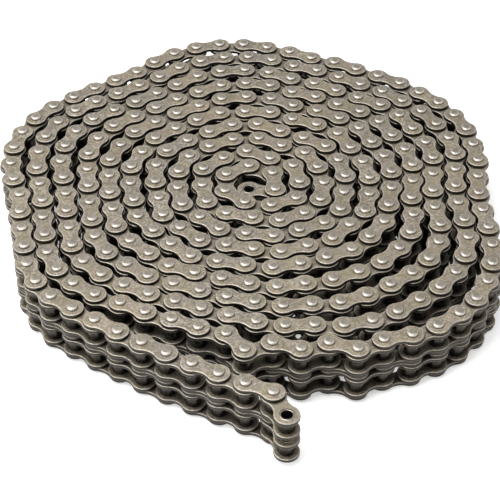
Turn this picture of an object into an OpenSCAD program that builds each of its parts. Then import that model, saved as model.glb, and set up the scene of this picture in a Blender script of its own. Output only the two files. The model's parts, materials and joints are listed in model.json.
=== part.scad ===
// Duplex riveted chain of ANSI 35-2 size, lying on its side in a flat coil.
//
// +Z is the pins' axis, z = 0 is the plane that the pin ends rest on, and x = y = 0 is the
// middle of the bounding box. The free end lies on the -Y side.
//
// The chain is a row of centres, one pitch apart. Link k joins centre k to centre k + 1.
// Even links are inner links, with plates and bushes. Odd links are pin links, with plates
// and pins. The first and last centres have no pin: centre 0 is the open hole in the middle
// of the coil, and the last centre is the open hole at the free end.

/* [Chain] */
// Distance between neighbouring pins
pitch = 9.525; // [9.45:0.005:9.6]
// Distance between the middles of the two strands
strand_pitch = 10.13; // [10.13:0.01:11]
// Clear width between the two inner plates of a strand
inner_w = 4.77; // [4.5:0.01:4.8]
// Thickness of every plate
plate_t = 1.25; // [1:0.05:1.25]
// Height of an inner plate at its round ends
inner_plate_h = 8.45; // [8.2:0.05:8.45]
// Height of an outer or centre plate at its round ends
outer_plate_h = 7.75; // [7.2:0.05:8]
// Height of a plate at its waist, as a share of its height at the ends
waist_share = 0.68; // [0.64:0.01:0.68]

/* [Pins and bushes] */
// Diameter of a pin
pin_d = 3.59; // [3.4:0.01:3.59]
// Diameter of a riveted pin head
head_d = 3.7; // [3.7:0.05:4.6]
// Height of a riveted pin head above its plate
head_h = 1; // [0.6:0.1:1.4]
// Outer diameter of a bush
bush_d = 5.08; // [4.9:0.02:5.2]
// Bore of a bush
bush_bore_d = 3.65; // [3.65:0.01:3.8]

/* [Fits] */
// Gap between an inner plate and the plate beside it
side_gap = 0.1; // [0.05:0.01:0.12]
// Diametral gap of a pressed fit
press_gap = 0.02; // [0.02:0.01:0.04]

/* [Coil] */
// Number of links, odd so that both ends are inner links
links = 319; // [199:2:319]
// Least distance between the pins of neighbouring turns
turn_gap = 8.6; // [8.6:0.01:9.6]
// How much that distance varies from pin to pin
pin_slack = 0.25; // [0:0.05:0.5]
// How much more it is at the back and left than at the front and right
back_slack = 0.2; // [0:0.05:0.5]
// How many times a plain spiral's bend a link may take to close up on the turn inside it
close_up = 2.1; // [1.8:0.1:2.4]
// Heading of the first link
first_heading = -10; // [-180:1:180]
// Bend at the first pin, where the chain folds round its own end
hook_bend = 105; // [90:1:115]
// Sharpest bend at any other pin
link_bend = 58; // [50:1:60]
// How far the kinked pin at the front stands out from the turn inside it
kink_out = 5; // [0:0.5:6]
// Bend at that pin
kink_bend = 90; // [60:1:100]
// How far each of the last turns bows out at the front right
bow_out = 3; // [0:0.5:4]

/* [Free end] */
// Heading of the free end where it leaves the coil
leave_heading = -38; // [-45:1:-30]
// Heading of the free end further out
far_heading = -22; // [-30:1:-15]
// Heading of the last link
last_heading = -65; // [-80:1:-40]

/* [Hidden] */
$fn = 48;
metal = [0.67, 0.63, 0.58];
dark_metal = [0.27, 0.25, 0.24];
bright_metal = [0.78, 0.75, 0.71];

// The free end: it leaves the coil at leave_from, and its links swing from free_from on.
pin_links = 6;
free_from = links - 2 * pin_links - 1;
leave_from = links - 10;
kink_pin = links - 61;
kink_reach = 5;
// Where the bows start, the heading at their middle, the heading at which the turns lie
// closest, and the angle that the distance's variation turns through from pin to pin
bow_from = links - 209;
bow_heading = 20;
tight_heading = 30;
slack_angle = 67;

// Heights, from the pin ends up
bush_l = inner_w + 2 * plate_t;
bottom_outer_z = head_h;
lower_bush_z = bottom_outer_z + plate_t + side_gap;
upper_bush_z = lower_bush_z + strand_pitch;
top_outer_z = upper_bush_z + bush_l + side_gap;
lower_centre_z = lower_bush_z + bush_l + side_gap;
upper_centre_z = upper_bush_z - side_gap - plate_t;
pin_l = top_outer_z + plate_t + head_h;

// Winding. Each link swings from the inside outwards, until its far pin is clear of every
// pin laid before it. The free end has headings of its own.
degrees_per_radian = 180 / PI;
function turned(a) = a - 360 * round(a / 360);
function bow(k, heading) =
    k < bow_from || abs(turned(heading - bow_heading)) > 45 ? 0
    : bow_out * cos(2 * (heading - bow_heading));
function reach(k, heading) =
    turn_gap
    + pin_slack * (1 + sin(slack_angle * k)) / 2
    + back_slack * (1 - cos(heading - tight_heading)) / 2
    + (k + 1 == kink_pin ? kink_out : bow(k, heading));
function spiral_bend(at) = close_up * degrees_per_radian * pitch / max(norm(at), pitch);
function bend_limit(k, at) =
    k == 1 ? hook_bend
    : k == kink_pin ? kink_bend
    : abs(k - kink_pin) < kink_reach ? link_bend
    : min(link_bend, spiral_bend(at));
function wish(k, from) =
    k == links - 1 ? last_heading
    : k >= leave_from ? leave_heading
        + (far_heading - leave_heading) * (k - leave_from) / (links - leave_from)
    : from[2] + bend_limit(k, [from[0], from[1]]);
function blocked_by(pins, from, keep) =
    [for (p = pins)
        let (to = [p[0] - from[0], p[1] - from[1]], d = norm(to))
        if (d > 0 && d < pitch + keep)
            [atan2(to[1], to[0]), acos((pitch ^ 2 + d ^ 2 - keep ^ 2) / (2 * pitch * d))]];
function clear_heading(a, blocked) =
    let (hits = [for (b = blocked)
        if (abs(turned(a - b[0])) < b[1] - 0.001) a + turned(b[0] - b[1] - a)])
    len(hits) == 0 ? a : clear_heading(min(hits), blocked);
function step(from, a) = [from[0] + pitch * cos(a), from[1] + pitch * sin(a), a];
function next_centre(pins) =
    let (k = len(pins) - 1, from = pins[k])
    step(from, clear_heading(wish(k, from), blocked_by(pins, from, reach(k, from[2]))));
function wind(pins) = len(pins) > links ? pins : wind(concat(pins, [next_centre(pins)]));

wound = wind([[0, 0, first_heading], step([0, 0], first_heading)]);
function middle(i) =
    let (v = [for (c = wound) c[i]])
    (min(v) + max(v)) / 2;
middle_x = middle(0);
middle_y = middle(1);
centres = [for (c = wound) [c[0] - middle_x, c[1] - middle_y, c[2]]];

// Which links and pins belong to the wound coil, and which to each free link. Free links
// are numbered from the free end.
coil_inner = [0:2:free_from - 2];
coil_outer = [1:2:free_from - 1];
function free_inner(n) = links - 1 - 2 * n;
function free_outer(n) = links - 2 * n;
end_link = links - 1;

// A link plate's outline: two round ends joined by a waist that is scooped from both sides
module plate_outline(h, hole_d) {
    r = h / 2;
    waist = waist_share * r;
    scoop_loose = 1.06;
    scoop_r = scoop_loose * (pitch ^ 2 / 4 + waist ^ 2 - r ^ 2) / (2 * (r - waist));
    scoop_y = waist + scoop_r;
    shoulder_y = r * scoop_y / norm([pitch / 2, scoop_y]);
    difference() {
        union() {
            for (x = [-1, 1] * pitch / 2) translate([x, 0]) circle(r = r);
            square([pitch, 2 * shoulder_y], center = true);
        }
        for (y = [-1, 1] * scoop_y) translate([0, y]) circle(r = scoop_r);
        for (x = [-1, 1] * pitch / 2) translate([x, 0]) circle(d = hole_d);
    }
}

// Puts its child at link k's middle, turned along the link
module on_link(k, z) {
    c = (centres[k] + centres[k + 1]) / 2;
    translate([c[0], c[1], z]) rotate([0, 0, centres[k + 1][2]]) children();
}

module outer_plate(k, z) {
    on_link(k, z) linear_extrude(plate_t) plate_outline(outer_plate_h, pin_d + press_gap);
}

module inner_plate(k, z) {
    on_link(k, z) linear_extrude(plate_t) plate_outline(inner_plate_h, bush_d + press_gap);
}

module centre_plate(k, z) {
    on_link(k, z) linear_extrude(plate_t) plate_outline(outer_plate_h, pin_d + press_gap);
}

// Both inner plates of one strand's link, given the height of its bushes' lower ends
module inner_plate_pair(k, z) {
    inner_plate(k, z);
    inner_plate(k, z + plate_t + inner_w);
}

// Both bushes of one strand's link. They end flush with the inner plates.
module bush_pair(k, z) {
    for (i = [k, k + 1]) translate([centres[i][0], centres[i][1], z]) rotate_extrude()
        translate([bush_bore_d / 2, 0]) square([(bush_d - bush_bore_d) / 2, bush_l]);
}

// A pin, with a riveted head at both ends that flares just above its plate
module pin(i) {
    r = pin_d / 2;
    flare_z = 0.3 * head_h;
    under_z = head_h - press_gap;
    dome_r = 0.72 * r;
    half = [[0, 0], [dome_r, 0], [head_d / 2, flare_z], [head_d / 2, under_z], [r, under_z]];
    other = [for (n = [len(half) - 1:-1:0]) [half[n][0], pin_l - half[n][1]]];
    translate([centres[i][0], centres[i][1], 0]) rotate_extrude() polygon(concat(half, other));
}

module pin_pair(k) {
    pin(k);
    pin(k + 1);
}

// The wound coil, by kind of piece and by level
module coil_bottom_outer_plates() {
    color(metal) for (k = coil_outer) outer_plate(k, bottom_outer_z);
}
module coil_top_outer_plates() {
    color(metal) for (k = coil_outer) outer_plate(k, top_outer_z);
}
module coil_lower_centre_plates() {
    color(metal) for (k = coil_outer) centre_plate(k, lower_centre_z);
}
module coil_upper_centre_plates() {
    color(metal) for (k = coil_outer) centre_plate(k, upper_centre_z);
}
module coil_inner_plates_1() {
    color(metal) for (k = coil_inner) inner_plate(k, lower_bush_z);
}
module coil_inner_plates_2() {
    color(metal) for (k = coil_inner) inner_plate(k, lower_bush_z + plate_t + inner_w);
}
module coil_inner_plates_3() {
    color(metal) for (k = coil_inner) inner_plate(k, upper_bush_z);
}
module coil_inner_plates_4() {
    color(metal) for (k = coil_inner) inner_plate(k, upper_bush_z + plate_t + inner_w);
}
module coil_lower_bushes() {
    color(dark_metal) for (k = coil_inner) bush_pair(k, lower_bush_z);
}
module coil_upper_bushes() {
    color(dark_metal) for (k = coil_inner) bush_pair(k, upper_bush_z);
}
module coil_pins() {
    color(bright_metal) for (k = coil_outer) pin_pair(k);
}

// One free pin link, n links from the free end
module pin_link_outer_plates(n) {
    color(metal) {
        outer_plate(free_outer(n), bottom_outer_z);
        outer_plate(free_outer(n), top_outer_z);
    }
}
module pin_link_centre_plates(n) {
    color(metal) {
        centre_plate(free_outer(n), lower_centre_z);
        centre_plate(free_outer(n), upper_centre_z);
    }
}
module pin_link_pins(n) {
    color(bright_metal) pin_pair(free_outer(n));
}

// One free inner link, n links from the free end. Its two strands share both their pins.
module inner_link_plates(n, z) {
    color(metal) inner_plate_pair(free_inner(n), z);
}
module inner_link_bushes(n, z) {
    color(dark_metal) bush_pair(free_inner(n), z);
}

// The last link. Its two strands share only one pin, so each is a link of its own.
module end_link_plates(z) {
    color(metal) inner_plate_pair(end_link, z);
}
module end_link_bushes(z) {
    color(dark_metal) bush_pair(end_link, z);
}

coil_bottom_outer_plates();
coil_top_outer_plates();
coil_lower_centre_plates();
coil_upper_centre_plates();
coil_inner_plates_1();
coil_inner_plates_2();
coil_inner_plates_3();
coil_inner_plates_4();
coil_lower_bushes();
coil_upper_bushes();
coil_pins();
for (n = [1:pin_links]) {
    pin_link_outer_plates(n);
    pin_link_centre_plates(n);
    pin_link_pins(n);
    inner_link_plates(n, lower_bush_z);
    inner_link_bushes(n, lower_bush_z);
    inner_link_plates(n, upper_bush_z);
    inner_link_bushes(n, upper_bush_z);
}
end_link_plates(lower_bush_z);  // end_link_lower_plates
end_link_bushes(lower_bush_z);  // end_link_lower_bushes
end_link_plates(upper_bush_z);  // end_link_upper_plates
end_link_bushes(upper_bush_z);  // end_link_upper_bushes
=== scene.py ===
"""Looks for a duplex chain that lies on its side in a flat coil.

Each kind of piece (plate, bush, pin) has one finely made mesh of its own. The CAD nodes say how big
the pieces are and where every one lies, and a copy of the fine mesh goes to each place. A node's
copies are one object, which rides on that node's body and stands for the node.
"""

import json
import math
import random

import bpy
import numpy as np
from mathutils import Matrix, Vector


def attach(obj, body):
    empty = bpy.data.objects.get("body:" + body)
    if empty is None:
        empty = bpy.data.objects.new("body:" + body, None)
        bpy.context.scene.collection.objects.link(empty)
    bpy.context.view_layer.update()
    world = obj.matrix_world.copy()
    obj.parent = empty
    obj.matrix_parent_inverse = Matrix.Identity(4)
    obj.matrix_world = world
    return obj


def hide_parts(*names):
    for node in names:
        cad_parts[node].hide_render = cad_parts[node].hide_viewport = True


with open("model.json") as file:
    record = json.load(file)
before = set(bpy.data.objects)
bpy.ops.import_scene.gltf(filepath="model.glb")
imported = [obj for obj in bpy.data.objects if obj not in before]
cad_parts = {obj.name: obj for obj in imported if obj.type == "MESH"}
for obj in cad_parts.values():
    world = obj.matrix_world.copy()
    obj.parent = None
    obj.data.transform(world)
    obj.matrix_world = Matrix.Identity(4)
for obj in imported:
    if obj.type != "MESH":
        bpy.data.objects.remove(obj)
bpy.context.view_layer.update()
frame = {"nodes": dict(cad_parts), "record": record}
nodes = frame["nodes"]
MM = 0.001

# ---------------------------------------------------------------- what the CAD model says

WELD = 1e-6  # corners closer than this are one corner


def solids(node):
    """The corner points of each separate solid in a CAD node, in metres. Faces that share a corner
    end up with the same label, the lowest of their corners' numbers."""
    mesh = nodes[node].data
    points = np.empty(len(mesh.vertices) * 3, np.float32)
    mesh.vertices.foreach_get("co", points)
    points = points.reshape(-1, 3).astype(float)
    welded, index = np.unique(np.round(points / WELD).astype(np.int64), axis=0, return_inverse=True)
    corners = np.empty(len(mesh.loops), np.int32)
    mesh.loops.foreach_get("vertex_index", corners)
    faces = index.reshape(-1)[corners].reshape(-1, 3)
    label = np.arange(len(welded))
    while True:
        lowest = label.copy()
        np.minimum.at(lowest, faces.ravel(), np.repeat(label[faces].min(axis=1), 3))
        lowest = lowest[lowest]
        if np.array_equal(lowest, label):
            break
        label = lowest
    owner = label[index.reshape(-1)]
    order = np.argsort(owner, kind="stable")
    cuts = np.flatnonzero(np.diff(owner[order])) + 1
    return np.split(points[order], cuts)


def middle_of(points):
    return (points.min(axis=0) + points.max(axis=0)) / 2


def size_of(points):
    return points.max(axis=0) - points.min(axis=0)


def radius_near(points, height):
    """The least radius, about a round solid's own axis, of its points nearest to a height."""
    middle = middle_of(points)
    away = np.abs(points[:, 2] - height)
    near = points[away < away.min() + WELD]
    return np.hypot(near[:, 0] - middle[0], near[:, 1] - middle[1]).min()


# Every centre of the chain has one lower bush, so the lower bushes mark the chain's centres.
centres = np.array([
    middle_of(bush)[:2]
    for node in nodes if node.endswith("lower_bushes")
    for bush in solids(node)])


def link_ends(middle):
    """The two centres of the link whose middle this is."""
    far = np.hypot(*(centres - middle[:2]).T)
    return centres[np.argsort(far)[:2]]


end_plate = solids("end_link_upper_plates")[0]
end_bush = solids("end_link_upper_bushes")[0]
end_pin = solids("pin_link_1_pins")[0]
outer_plate = solids("pin_link_1_outer_plates")[0]
bore = next(m for m in frame["record"]["mounts"] if m["name"] == "free_end_upper_bore")


def end_radius(plate):
    """The radius of a plate's round ends: its farthest corner's distance from the link's line."""
    a, b = link_ends(middle_of(plate))
    along = (b - a) / np.hypot(*(b - a))
    return np.abs((plate[:, :2] - a) @ np.array([-along[1], along[0]])).max()


start, stop = link_ends(middle_of(end_plate))
PITCH = np.hypot(*(stop - start))
PLATE_T = size_of(end_plate)[2]
INNER_R, OUTER_R = end_radius(end_plate), end_radius(outer_plate)
BUSH_R, BUSH_L = size_of(end_bush)[0] / 2, size_of(end_bush)[2]
BORE_R = bore["dims"]["r_mm"] * MM
HEAD_R, PIN_L = size_of(end_pin)[0] / 2, size_of(end_pin)[2]
PIN_R = radius_near(end_pin, middle_of(end_pin)[2])
HEAD_H = (PIN_L - size_of(np.concatenate(solids("pin_link_1_outer_plates")))[2]) / 2

# ---------------------------------------------------------------- the fine meshes

WAIST_SHARE = 0.68  # a plate's height at the waist, as a share of its height at the round ends
EDGE = 0.2 * MM  # how far a plate's tumbled edge is rounded
RIM = 0.62 * MM  # how far in from the edge the worn rim fades out
LOBE_STEPS, SCOOP_STEPS, CUT_STEPS = 16, 4, 4  # a half outline: round end, waist, middle line
ROUND_STEPS = 24  # sides of a bush or a pin
BUSH_CUT = 0.11 * MM  # the chamfer at a bush's ends


class Shape:
    """A mesh in a piece's own frame. Each point's edge value is 0 on a plain face, up to 1 on edges
    pale from wear and on painted highlights, and down to -1 where shade is painted on."""

    def __init__(self, points, faces, edge):
        self.points = np.array(points, float)
        self.faces = faces
        self.edge = np.array(edge, float)


def half_outline(end_r, inset):
    """The right half of a plate's outline, moved in by inset, in two parts: from the waist below,
    round the end, to the waist above, and then back down the middle line."""
    waist = WAIST_SHARE * end_r
    scoop_r = (PITCH ** 2 / 4 + waist ** 2 - end_r ** 2) / (2 * (end_r - waist))
    scoop_y = waist + scoop_r
    meet = math.atan2(scoop_y, -PITCH / 2)
    lobe = [
        (PITCH / 2 + (end_r - inset) * math.cos(a), (end_r - inset) * math.sin(a))
        for a in np.linspace(-meet, meet, LOBE_STEPS + 1)]
    leave = math.atan2(-scoop_y, PITCH / 2)
    scoop = [
        ((scoop_r + inset) * math.cos(a), scoop_y + (scoop_r + inset) * math.sin(a))
        for a in np.linspace(leave, -math.pi / 2, SCOOP_STEPS + 1)][1:]
    below = [(x, -y) for x, y in reversed(scoop)]
    top = scoop[-1][1]
    cut = [(0.0, y) for y in np.linspace(top, -top, CUT_STEPS + 1)][1:-1]
    return below + lobe + scoop, cut


def plate_shape(end_r, hole_r):
    """A link plate along X with its middle above the origin and its lower face at z = 0."""
    arc = 0.3 * EDGE  # how far the middle of a rounded edge lies inside the sharp corner
    # Edge values: -1.0 paints shade on the sides; the upper rounded edge (0.7, 0.6) is paler than
    # the lower one (0.1, 0.3) by a painted highlight on top of wear.
    profile = [  # how far in, how high, and the edge value
        (RIM, 0, 0.0), (EDGE, 0, 0.3), (arc, arc, 0.1), (0, EDGE, -1.0),
        (0, PLATE_T - EDGE, -1.0), (arc, PLATE_T - arc, 0.7), (EDGE, PLATE_T, 0.6),
        (RIM, PLATE_T, 0.0)]
    points, edge, faces, rings = [], [], [], []
    for inset, z, wear_and_light in profile:
        half, _ = half_outline(end_r, inset)
        ring = half[:-1] + [(-x, -y) for x, y in half[:-1]]
        rings.append(len(points) + np.arange(len(ring)))
        points += [(x, y, z) for x, y in ring]
        edge += [wear_and_light] * len(ring)
    count = len(rings[0])
    for low, high in zip(rings, rings[1:]):
        for i in range(count):
            j = (i + 1) % count
            faces.append((low[i], low[j], high[j], high[i]))
    holes = []
    for level, z in ((0, 0), (-1, PLATE_T)):
        _, cut = half_outline(end_r, RIM)
        line = len(points) + np.arange(len(cut))
        points += [(x, y, z) for x, y in cut]
        edge += [0.0] * len(cut)
        ring = rings[level]
        mid = count // 2
        right = list(ring[:mid + 1]) + list(line)
        left = list(ring[mid:]) + [ring[0]] + list(reversed(line))
        for side, loop in ((1, right), (-1, left)):
            centre = side * PITCH / 2
            angles = [math.atan2(points[p][1], points[p][0] - centre) for p in loop]
            hole = len(points) + np.arange(len(loop))
            points += [(centre + hole_r * math.cos(a), hole_r * math.sin(a), z) for a in angles]
            edge += [0.0] * len(loop)
            holes.append(hole)
            for i in range(len(loop)):
                j = (i + 1) % len(loop)
                face = (loop[i], hole[i], hole[j], loop[j])
                faces.append(face if z == 0 else face[::-1])
    for low, high in zip(holes[:2], holes[2:]):
        for i in range(len(low)):
            j = (i + 1) % len(low)
            faces.append((low[i], high[i], high[j], low[j]))
    return Shape(points, faces, edge)


def turned_shape(profile, closed):
    """A solid turned about Z from (radius, z, edge value) points. closed joins the last point to
    the first, as in a tube. Otherwise the first and last points lie on the axis."""
    points, edge, faces, rings = [], [], [], []
    for r, z, wear_and_light in profile:
        steps = ROUND_STEPS if r > 0 else 1
        rings.append(len(points) + np.arange(steps))
        points += [
            (r * math.cos(2 * math.pi * i / steps), r * math.sin(2 * math.pi * i / steps), z)
            for i in range(steps)]
        edge += [wear_and_light] * steps
    pairs = list(zip(rings, rings[1:]))
    if closed:
        pairs.append((rings[-1], rings[0]))
    for low, high in pairs:
        for i in range(ROUND_STEPS):
            j = (i + 1) % ROUND_STEPS
            corners = (
                low[i % len(low)], low[j % len(low)], high[j % len(high)], high[i % len(high)])
            faces.append(tuple(dict.fromkeys(corners)))
    return Shape(points, faces, edge)


def bush_shape():
    """A bush with both ends chamfered, its lower end at z = 0."""
    cut = BUSH_CUT
    return turned_shape([
        (BORE_R + cut, 0, 0.6), (BUSH_R - cut, 0, 0.6), (BUSH_R, cut, 0.3),
        (BUSH_R, BUSH_L - cut, 0.3), (BUSH_R - cut, BUSH_L, 0.6), (BORE_R + cut, BUSH_L, 0.6),
        (BORE_R, BUSH_L - cut, 0.0), (BORE_R, cut, 0.0)], closed=True)


# The outline of a riveted head: its radius and depth as shares of the head's, and the edge value
# An edge value of 1.0 paints a highlight on the shoulder.
HEAD = [
    (0, 0.03, 0.1), (0.45, 0.0, 0.1), (0.72, 0.03, 0.3), (0.87, 0.17, 1.0), (0.96, 0.4, 1.0),
    (1.0, 0.68, 0.3), (0.99, 0.98, -0.4)]
HEAD_FOOT = HEAD[-1][1]  # the depth, as a share, at which the head meets the pin


def pin_shape():
    """A pin with riveted ends: a nearly flat face, a rounded shoulder and a flared foot at each
    plate."""
    half = [(r * HEAD_R, z * HEAD_H, wear_and_light) for r, z, wear_and_light in HEAD]
    half.append((PIN_R, HEAD_FOOT * HEAD_H, 0.0))
    other = [(r, PIN_L - z, wear_and_light) for r, z, wear_and_light in reversed(half)]
    return turned_shape(half + other, closed=False)


# ---------------------------------------------------------------- materials

CREVICE_SAMPLES = 6


class Nodes:
    """Makes the nodes of one material."""

    def __init__(self, name):
        self.material = bpy.data.materials.new(name)
        self.material.use_nodes = True
        self.tree = self.material.node_tree
        self.shader = self.tree.nodes["Principled BSDF"]
        self.place = self.add("ShaderNodeTexCoord").outputs["Object"]

    def add(self, kind, **settings):
        node = self.tree.nodes.new(kind)
        for key, value in settings.items():
            setattr(node, key, value)
        return node

    def link(self, value, socket):
        if isinstance(value, bpy.types.NodeSocket):
            self.tree.links.new(value, socket)
        else:
            socket.default_value = value

    def attribute(self, name):
        return self.add("ShaderNodeAttribute", attribute_name=name).outputs["Fac"]

    def noise(self, per_mm, detail=3.0, roughness=0.55, squash=None):
        """Noise with about per_mm features to a millimetre."""
        node = self.add("ShaderNodeTexNoise")
        node.inputs["Scale"].default_value = per_mm / MM
        node.inputs["Detail"].default_value = detail
        node.inputs["Roughness"].default_value = roughness
        place = self.place
        if squash:
            mapping = self.add("ShaderNodeMapping")
            mapping.inputs["Scale"].default_value = squash
            self.tree.links.new(self.place, mapping.inputs["Vector"])
            place = mapping.outputs["Vector"]
        self.tree.links.new(place, node.inputs["Vector"])
        return node.outputs["Fac"]

    def math(self, operation, a, b):
        node = self.add("ShaderNodeMath", operation=operation)
        self.link(a, node.inputs[0])
        self.link(b, node.inputs[1])
        return node.outputs[0]

    def fit(self, value, low, high, out_low=0.0, out_high=1.0):
        """value scaled from low..high to out_low..out_high, and kept within that."""
        node = self.add("ShaderNodeMapRange")
        self.link(value, node.inputs["Value"])
        for key, number in (
                ("From Min", low), ("From Max", high), ("To Min", out_low), ("To Max", out_high)):
            node.inputs[key].default_value = number
        return node.outputs["Result"]

    def mix(self, share, a, b, blend="MIX"):
        node = self.add("ShaderNodeMix", data_type="RGBA", blend_type=blend)
        self.link(share, node.inputs["Factor"])
        self.link(a, node.inputs["A"])
        self.link(b, node.inputs["B"])
        return node.outputs["Result"]

    def crevice(self, distance):
        """1 in the open and 0 between pieces much closer together than distance."""
        node = self.add("ShaderNodeAmbientOcclusion", samples=CREVICE_SAMPLES)
        node.inputs["Distance"].default_value = distance
        return node.outputs["AO"]

    def bump(self, height, distance, strength=1.0, under=None):
        node = self.add("ShaderNodeBump")
        node.inputs["Strength"].default_value = strength
        node.inputs["Distance"].default_value = distance
        self.link(height, node.inputs["Height"])
        if under is not None:
            self.link(under, node.inputs["Normal"])
        return node.outputs["Normal"]

    def finish(self, colour, roughness, normal, **constants):
        self.link(colour, self.shader.inputs["Base Color"])
        self.link(roughness, self.shader.inputs["Roughness"])
        self.link(normal, self.shader.inputs["Normal"])
        for key, value in constants.items():
            self.shader.inputs[key.replace("_", " ")].default_value = value
        return self.material


def rgb(r, g, b):
    return (r, g, b, 1.0)


PLATE_DARK, PLATE_PALE = rgb(0.37, 0.335, 0.282), rgb(0.5, 0.46, 0.398)
GRAIN_DARK, GRAIN_PALE = rgb(0.1, 0.085, 0.066), rgb(0.7, 0.66, 0.585)
PLATE_BROWN = rgb(0.42, 0.36, 0.26)
PLATE_DULL = rgb(0.24, 0.22, 0.188)
WARM_CAST, COOL_CAST = rgb(1.0, 0.96, 0.84), rgb(1.0, 0.97, 0.97)
# paler edges from wear, with a painted highlight on the upper edges
WORN_EDGE_AND_HIGHLIGHT = rgb(0.66, 0.615, 0.545)
# painted shade on the plates' sides
SHADED_SIDE = rgb(0.04, 0.035, 0.03)
# painted shade in the recesses between inner plates
RECESS_SHADE = rgb(0.02, 0.018, 0.015)
# painted shade where plates meet, broken up like an oil stain
CREVICE_SHADE_AND_OIL = rgb(0.035, 0.025, 0.014)
BUSH_DARK, BUSH_PALE = rgb(0.022, 0.02, 0.018), rgb(0.05, 0.045, 0.039)
BUSH_END = rgb(0.4, 0.365, 0.31)
# painted shade where a bush sits between the plates
BUSH_CREVICE_SHADE = rgb(0.012, 0.009, 0.006)
PIN_DARK, PIN_PALE = rgb(0.37, 0.328, 0.27), rgb(0.5, 0.455, 0.388)
PIN_GRAIN = rgb(0.1, 0.09, 0.078)
PIN_DULL = rgb(0.31, 0.275, 0.228)
# painted highlight on a riveted head's shoulder
PIN_SHOULDER_HIGHLIGHT = rgb(0.9, 0.86, 0.79)
# painted shade where a pin's head meets its plate
PIN_CREVICE_SHADE = rgb(0.04, 0.03, 0.018)
FLOOR_DARK, FLOOR_PALE = rgb(0.9, 0.9, 0.895), rgb(0.93, 0.93, 0.925)

# How far the painted shade between pieces reaches
RECESS_REACH = 7.0 * MM  # across the gap between two inner plates
PLATE_REACH = 2.2 * MM
BUSH_REACH = 3.0 * MM
PIN_REACH = 1.3 * MM


def plate_steel():
    """Matt warm grey steel: fine grain, blotches, painted shade with oil stains where plates meet,
    painted shade in the recesses between inner plates, paler edges from wear with a painted
    highlight on the upper ones, and painted shade on the sides."""
    n = Nodes("plate_steel")
    grain = n.noise(1.3, detail=5, roughness=0.7)
    blotch = n.noise(0.35)
    drift = n.noise(0.03, detail=2)
    tone = n.attribute("tone")
    edge = n.attribute("edge")
    colour = n.mix(n.fit(blotch, 0.35, 0.65), PLATE_DARK, PLATE_PALE)
    colour = n.mix(n.fit(grain, 0.4, 0.58), n.mix(0.65, colour, GRAIN_DARK), colour)
    colour = n.mix(n.fit(grain, 0.52, 0.66, 0.0, 0.65), colour, GRAIN_PALE)
    colour = n.mix(n.fit(drift, 0.4, 0.62, 0.0, 0.4), colour, PLATE_BROWN)
    colour = n.mix(n.fit(tone, 0, 1, 0.0, 0.35), colour, PLATE_DULL)
    cast = n.fit(n.noise(0.22, detail=3), 0.38, 0.62)
    tint = n.mix(cast, WARM_CAST, COOL_CAST)
    colour = n.mix(1.0, colour, tint, "MULTIPLY")
    # Paler edges from wear, with a painted highlight on the upper edges
    wear_and_light = n.math("MULTIPLY", n.fit(edge, 0, 1), n.fit(grain, 0.35, 0.65, 0.4, 1.0))
    colour = n.mix(wear_and_light, colour, WORN_EDGE_AND_HIGHLIGHT)
    # Painted shade on the plates' sides, where the edge value is below 0
    colour = n.mix(n.fit(edge, 0, -1, 0.0, 1.0), colour, SHADED_SIDE)
    # Painted shade in the recesses between the inner plates
    recess = n.fit(n.crevice(RECESS_REACH), 0.6, 0.3, 0.0, 0.85)
    colour = n.mix(recess, colour, RECESS_SHADE)
    # Painted shade where plates meet, broken up by the blotches like an oil stain
    shade = n.crevice(PLATE_REACH)
    stain_and_shade = n.math("MULTIPLY", n.fit(shade, 0.8, 0.3), n.fit(blotch, 0.3, 0.6, 0.6, 1.0))
    colour = n.mix(stain_and_shade, colour, CREVICE_SHADE_AND_OIL)
    rough = n.fit(n.math("ADD", grain, n.math("MULTIPLY", blotch, 0.6)), 0.5, 1.1, 0.42, 0.62)
    relief = n.bump(grain, 0.09 * MM, 0.8)
    relief = n.bump(blotch, 0.1 * MM, 0.35, relief)
    return n.finish(colour, rough, relief, Metallic=0.7)


def bush_steel():
    """Dark, oily, nearly black steel, with painted shade where it sits between the plates."""
    n = Nodes("bush_steel")
    streak = n.noise(1.6, detail=3, squash=(1, 1, 0.12))
    blotch = n.noise(0.5)
    edge = n.attribute("edge")
    colour = n.mix(n.fit(blotch, 0.35, 0.65), BUSH_DARK, BUSH_PALE)
    colour = n.mix(n.fit(edge, 0.3, 0.6), colour, BUSH_END)
    # Painted shade where the bush sits between the plates
    shade = n.crevice(BUSH_REACH)
    colour = n.mix(n.fit(shade, 0.6, 0.1, 0.0, 0.8), colour, BUSH_CREVICE_SHADE)
    rough = n.fit(n.math("ADD", streak, blotch), 0.7, 1.3, 0.2, 0.4)
    return n.finish(colour, rough, n.bump(streak, 0.03 * MM, 0.4), Metallic=0.9)


def pin_steel():
    """Satin steel, with the hammered look of a riveted end, a painted highlight on its shoulder
    and painted shade where the head meets the plate.
    """
    n = Nodes("pin_steel")
    hammered = n.noise(0.8, detail=3)
    grain = n.noise(3.0, detail=3)
    edge = n.attribute("edge")
    tone = n.attribute("tone")
    colour = n.mix(n.fit(hammered, 0.35, 0.65), PIN_DARK, PIN_PALE)
    colour = n.mix(n.fit(grain, 0.3, 0.6, 0.3, 0.0), colour, PIN_GRAIN)
    colour = n.mix(n.fit(tone, 0, 1, 0.0, 0.4), colour, PIN_DULL)
    # Painted highlight on the riveted head's shoulder
    colour = n.mix(n.fit(edge, 0.1, 1, 0.0, 0.8), colour, PIN_SHOULDER_HIGHLIGHT)
    # Painted shade where the head meets the plate
    shade = n.crevice(PIN_REACH)
    colour = n.mix(n.fit(shade, 0.75, 0.4, 0.0, 0.85), colour, PIN_CREVICE_SHADE)
    rough = n.fit(n.math("ADD", grain, hammered), 0.7, 1.3, 0.4, 0.58)
    relief = n.bump(hammered, 0.16 * MM, 0.6)
    relief = n.bump(grain, 0.03 * MM, 0.4, relief)
    return n.finish(colour, rough, relief, Metallic=0.9)


# ---------------------------------------------------------------- pieces

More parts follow.
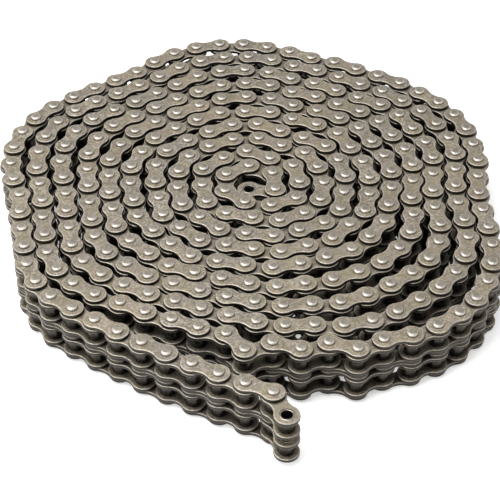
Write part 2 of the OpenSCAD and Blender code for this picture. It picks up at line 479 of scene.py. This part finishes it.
WOBBLE = 0.07 * MM  # how far a riveted head's dish lies off the pin's axis
SHARP_ANGLE = math.radians(50)  # faces that meet at more than this are shaded with an edge
SEED = 35


def plate_places(node, draw):
    """For each plate of a node, its middle, its turn about Z and its tone."""
    for plate in solids(node):
        a, b = link_ends(middle_of(plate))
        middle = (a + b) / 2
        yield (middle[0], middle[1], plate[:, 2].min()), math.atan2(*(b - a)[::-1]), draw.random()


def round_places(node, draw):
    """The same for bushes and pins, with a turn drawn at random."""
    for solid in solids(node):
        x, y, _ = middle_of(solid)
        yield (x, y, solid[:, 2].min()), draw.uniform(0, 2 * math.pi), draw.random()


def copies(name, shape, places, material, draw, wobble=0.0):
    """One object with a copy of shape at each place. wobble shifts the middle of a pin's ends."""
    points, tones = [], []
    for at, turn, tone in places:
        local = shape.points.copy()
        if wobble:
            inner = np.clip(1 - np.hypot(local[:, 0], local[:, 1]) / HEAD_R, 0, 1)[:, None]
            local[:, :2] += inner * [draw.uniform(-wobble, wobble), draw.uniform(-wobble, wobble)]
        c, s = math.cos(turn), math.sin(turn)
        points.append(local @ np.array([[c, s, 0], [-s, c, 0], [0, 0, 1]]) + at)
        tones.append(np.full(len(local), tone))
    count = len(shape.points)
    faces = [tuple(int(i) + n * count for i in f) for n in range(len(points)) for f in shape.faces]
    mesh = bpy.data.meshes.new(name)
    mesh.from_pydata(np.concatenate(points).tolist(), [], faces)
    marks = {"tone": np.concatenate(tones), "edge": np.tile(shape.edge, len(points))}
    for key, values in marks.items():
        mesh.attributes.new(key, "FLOAT", "POINT").data.foreach_set("value", values)
    mesh.shade_smooth()
    mesh.set_sharp_from_angle(angle=SHARP_ANGLE)
    mesh.materials.append(material)
    piece = bpy.data.objects.new(name, mesh)
    bpy.context.scene.collection.objects.link(piece)
    return piece


def make_pieces():
    inner = plate_shape(INNER_R, BUSH_R)
    outer = plate_shape(OUTER_R, PIN_R)
    bush, pin = bush_shape(), pin_shape()
    steel, dark, bright = plate_steel(), bush_steel(), pin_steel()
    body_of = {n: body for body, ns in frame["record"]["behaviour"]["bodies"].items() for n in ns}
    draw = random.Random(SEED)
    for node in sorted(nodes):
        name = node + "_detailed"
        if "bushes" in node:
            piece = copies(name, bush, round_places(node, draw), dark, draw)
        elif node.endswith("pins"):
            piece = copies(name, pin, round_places(node, draw), bright, draw, WOBBLE)
        else:
            shape = outer if "outer" in node or "centre" in node else inner
            piece = copies(name, shape, plate_places(node, draw), steel, draw)
        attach(piece, body_of[node])
        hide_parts(node)


# ---------------------------------------------------------------- floor, light and camera

FLOOR_REACH = 6.0  # from the middle of the floor to its edges, in metres
FLOOR_GLOW = 0.5  # lifts the floor to near white and softens the shadow
SKY_STRENGTH = 0.45
COIL_MIDDLE = (0.0, 0.0, 0.01)
# The camera stands in front, looking down along +Y.
CAMERA_PLACE = (0.0018, -0.4468, 0.3843)
CAMERA_DOWN = 40.74  # degrees below the horizon
CAMERA_ROLL = -0.47
CAMERA_LENS = 117.6  # in millimetres, on a sensor of the width below
CAMERA_SENSOR = 36.0


def make_floor():
    n = Nodes("floor")
    mottle = n.noise(0.02, detail=2)
    colour = n.mix(n.fit(mottle, 0.3, 0.7), FLOOR_DARK, FLOOR_PALE)
    material = n.finish(colour, 0.7, n.bump(mottle, 0.01 * MM, 0.1))
    n.link(colour, n.shader.inputs["Emission Color"])
    n.shader.inputs["Emission Strength"].default_value = FLOOR_GLOW
    mesh = bpy.data.meshes.new("floor")
    signs = ((-1, -1), (1, -1), (1, 1), (-1, 1))
    corners = [(x * FLOOR_REACH, y * FLOOR_REACH, 0) for x, y in signs]
    mesh.from_pydata(corners, [], [(0, 1, 2, 3)])
    mesh.materials.append(material)
    floor = bpy.data.objects.new("floor", mesh)
    bpy.context.scene.collection.objects.link(floor)


def area_light(name, place, size, power):
    """A round lamp that faces the middle of the coil."""
    data = bpy.data.lights.new(name, "AREA")
    data.shape = "DISK"
    data.size = size
    data.energy = power
    light = bpy.data.objects.new(name, data)
    bpy.context.scene.collection.objects.link(light)
    light.location = place
    light.rotation_mode = "QUATERNION"
    light.rotation_quaternion = (Vector(COIL_MIDDLE) - Vector(place)).to_track_quat("-Z", "Y")


def make_light():
    world = bpy.data.worlds.new("studio")
    bpy.context.scene.world = world
    world.use_nodes = True
    background = world.node_tree.nodes["Background"]
    background.inputs["Color"].default_value = rgb(1.0, 1.0, 1.0)
    background.inputs["Strength"].default_value = SKY_STRENGTH
    area_light("overhead", (-0.3, -0.05, 0.9), size=0.8, power=9.0)
    area_light("front_left", (-0.75, -0.7, 0.6), size=0.5, power=4.0)
    area_light("right", (0.8, -0.3, 0.5), size=0.6, power=0.5)


def make_camera():
    data = bpy.data.cameras.new("camera")
    data.sensor_width = CAMERA_SENSOR
    data.lens = CAMERA_LENS
    data.clip_start, data.clip_end = 0.01, 20.0
    camera = bpy.data.objects.new("camera", data)
    bpy.context.scene.collection.objects.link(camera)
    look = Matrix.Rotation(math.radians(90 - CAMERA_DOWN), 4, "X")
    roll = Matrix.Rotation(math.radians(CAMERA_ROLL), 4, "Z")
    camera.matrix_world = Matrix.Translation(CAMERA_PLACE) @ look @ roll
    bpy.context.scene.camera = camera


bpy.context.scene.view_settings.view_transform = "Standard"
make_camera()
make_light()
make_floor()
make_pieces()
